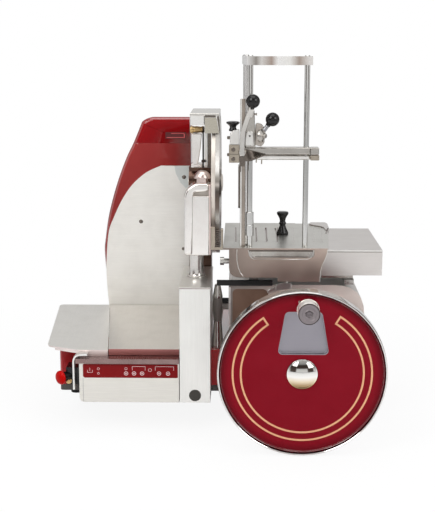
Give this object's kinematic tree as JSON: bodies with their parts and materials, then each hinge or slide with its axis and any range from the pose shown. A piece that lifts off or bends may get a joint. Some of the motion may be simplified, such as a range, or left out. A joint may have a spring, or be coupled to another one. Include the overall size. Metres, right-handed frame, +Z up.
{
  "type": "flywheel meat slicer",
  "caption": "Countertop slicer: hand wheel with folding crank, upright round blade, sliding meat table with a product press, sloping slice trays and a column at the front.",
  "frame": {"origin": "on the stand surface under the feet, straight below the middle of the blade", "axes": "+Z up, +X from the blade towards the meat table, +Y away from the person at the hand wheel"},
  "size_m": [0.7743, 0.7119, 0.838],
  "materials": {
    "red": "glossy deep red enamel",
    "sheet": "satin stainless sheet",
    "brushed": "brushed and polished aluminium",
    "chrome": "mirror polish",
    "cast": "polished casting",
    "blade_steel": "ground and polished",
    "shaft_steel": "turned",
    "gear_steel": "machined",
    "black": "glossy black",
    "dark_plate": "dark satin paint",
    "brass": "turned brass",
    "stop_red": "bright red",
    "panel": "printed red panel",
    "rubber": "matte black"
  },
  "bodies": {
    "frame": {"base_plate": "dark_plate", "foot_1": "rubber", "foot_2": "rubber", "foot_3": "rubber", "foot_4": "rubber", "base_body": "red", "column": "sheet", "pedestal": "chrome", "guard_post": "cast", "knife_arm": "cast", "blade_bearing_left": "gear_steel", "blade_bearing_right": "gear_steel", "drive_chain": "gear_steel", "guard_ring": "chrome", "guard_plate": "sheet", "top_cover": "chrome", "sharpener_body": "sheet", "shaft_tube": "cast", "rear_bearing": "brass", "blade_motor": "dark_plate", "slide_housing": "cast", "rail_left": "shaft_steel", "rail_right": "shaft_steel", "carriage_motor": "dark_plate", "inner_tray": "brushed", "outer_tray": "brushed", "deflector_plate": "brushed", "drive_cover": "red", "control_box": "sheet", "control_panel": "panel", "panel_hood": "dark_plate", "tray_bracket": "sheet", "stop_housing": "black"},
    "wheel": {"flywheel": "red", "hub_cap": "chrome", "main_shaft": "shaft_steel", "handle_pocket": "cast"},
    "handle": {"handle_pivot": "chrome"},
    "grip": {"crank_grip": "chrome"},
    "cross": {"cross_shaft": "gear_steel"},
    "knife": {"blade": "blade_steel", "blade_shaft": "shaft_steel"},
    "stone": {"grinding_spindle": "brass"},
    "stone_lever": {"sharpener_lever": "gear_steel"},
    "slide": {"carriage": "brushed"},
    "pinion": {"carriage_pinion": "gear_steel"},
    "table": {"meat_table": "brushed", "meat_fence": "sheet", "rod_left": "shaft_steel", "rod_right": "shaft_steel", "top_bar": "sheet"},
    "screw": {"feed_screw": "shaft_steel"},
    "lock_knob": {"table_knob": "black"},
    "press": {"press_arm": "sheet", "press_plate": "gear_steel"},
    "release": {"release_lever": "black"},
    "clamp": {"clamp_lever": "black"},
    "tooth_knob": {"clamp_knob": "black"},
    "lid": {"cover_cap": "red"},
    "stop": {"stop_button": "stop_red"}
  },
  "joints": [
    {"name": "wheel_turn", "type": "hinge", "parent": "frame", "child": "wheel", "pos_m": [0.183, 0, 0.126], "axis": [0, 1, 0], "continuous": true},
    {"name": "handle_fold", "type": "hinge", "parent": "wheel", "child": "handle", "pos_m": [0.191, -0.413, 0.275], "axis": [1, 0, 0], "range_deg": [0, 90]},
    {"name": "grip_spin", "type": "hinge", "parent": "handle", "child": "grip", "pos_m": [0.191, -0.455, 0.275], "axis": [0, 1, 0], "continuous": true},
    {"name": "cross_shaft_turn", "type": "hinge", "parent": "frame", "child": "cross", "pos_m": [0.08, 0.03, 0.066], "axis": [1, 0, 0], "continuous": true},
    {"name": "blade_spin", "type": "hinge", "parent": "frame", "child": "knife", "pos_m": [0, 0, 0.48], "axis": [1, 0, 0], "continuous": true},
    {"name": "stone_spin", "type": "hinge", "parent": "frame", "child": "stone", "pos_m": [-0.04, -0.008, 0.607], "axis": [1, 0, 0], "continuous": true},
    {"name": "stone_lever_turn", "type": "hinge", "parent": "frame", "child": "stone_lever", "pos_m": [-0.035, -0.025, 0.566], "axis": [0, 0, 1], "range_deg": [-40, 40]},
    {"name": "carriage_slide", "type": "slide", "parent": "frame", "child": "slide", "axis": [0, 1, 0], "range_m": [-0.13, 0.12]},
    {"name": "pinion_turn", "type": "hinge", "parent": "frame", "child": "pinion", "pos_m": [0.156, -0.068, 0.2406], "axis": [1, 0, 0], "range_deg": [-175, 190]},
    {"name": "table_feed", "type": "slide", "parent": "slide", "child": "table", "axis": [1, 0, 0], "range_m": [0, 0.15]},
    {"name": "screw_turn", "type": "hinge", "parent": "slide", "child": "screw", "pos_m": [0.2, -0.15, 0.318], "axis": [1, 0, 0], "continuous": true},
    {"name": "lock_knob_turn", "type": "hinge", "parent": "table", "child": "lock_knob", "pos_m": [0.152, -0.032, 0.387], "axis": [0, 0, 1], "continuous": true},
    {"name": "press_slide", "type": "slide", "parent": "table", "child": "press", "axis": [0, 0, 1], "range_m": [-0.075, 0.055]},
    {"name": "release_turn", "type": "hinge", "parent": "press", "child": "release", "pos_m": [0.055, -0.209, 0.574], "axis": [0, 1, 0], "range_deg": [-35, 5]},
    {"name": "clamp_turn", "type": "hinge", "parent": "press", "child": "clamp", "pos_m": [0.096, -0.194, 0.613], "axis": [0, 1, 0], "range_deg": [-25, 60]},
    {"name": "tooth_knob_turn", "type": "hinge", "parent": "press", "child": "tooth_knob", "pos_m": [0.034, -0.189, 0.63], "axis": [0, 0, 1], "continuous": true},
    {"name": "lid_open", "type": "hinge", "parent": "frame", "child": "lid", "pos_m": [-0.14, 0.2386, 0.566], "axis": [-1, 0, 0], "range_deg": [0, 95]},
    {"name": "stop_push", "type": "slide", "parent": "frame", "child": "stop", "axis": [0.7071, 0.7071, 0], "range_m": [0, 0.004], "stiffness_N_per_m": 1500}
  ],
  "couplings": [
    {"joint": "cross_shaft_turn", "follows": "wheel_turn", "ratio": 2},
    {"joint": "blade_spin", "follows": "wheel_turn", "ratio": 3},
    {"joint": "pinion_turn", "follows": "carriage_slide", "rad_per_m": -25},
    {"joint": "screw_turn", "follows": "table_feed", "rad_per_m": 523.6}
  ]
}
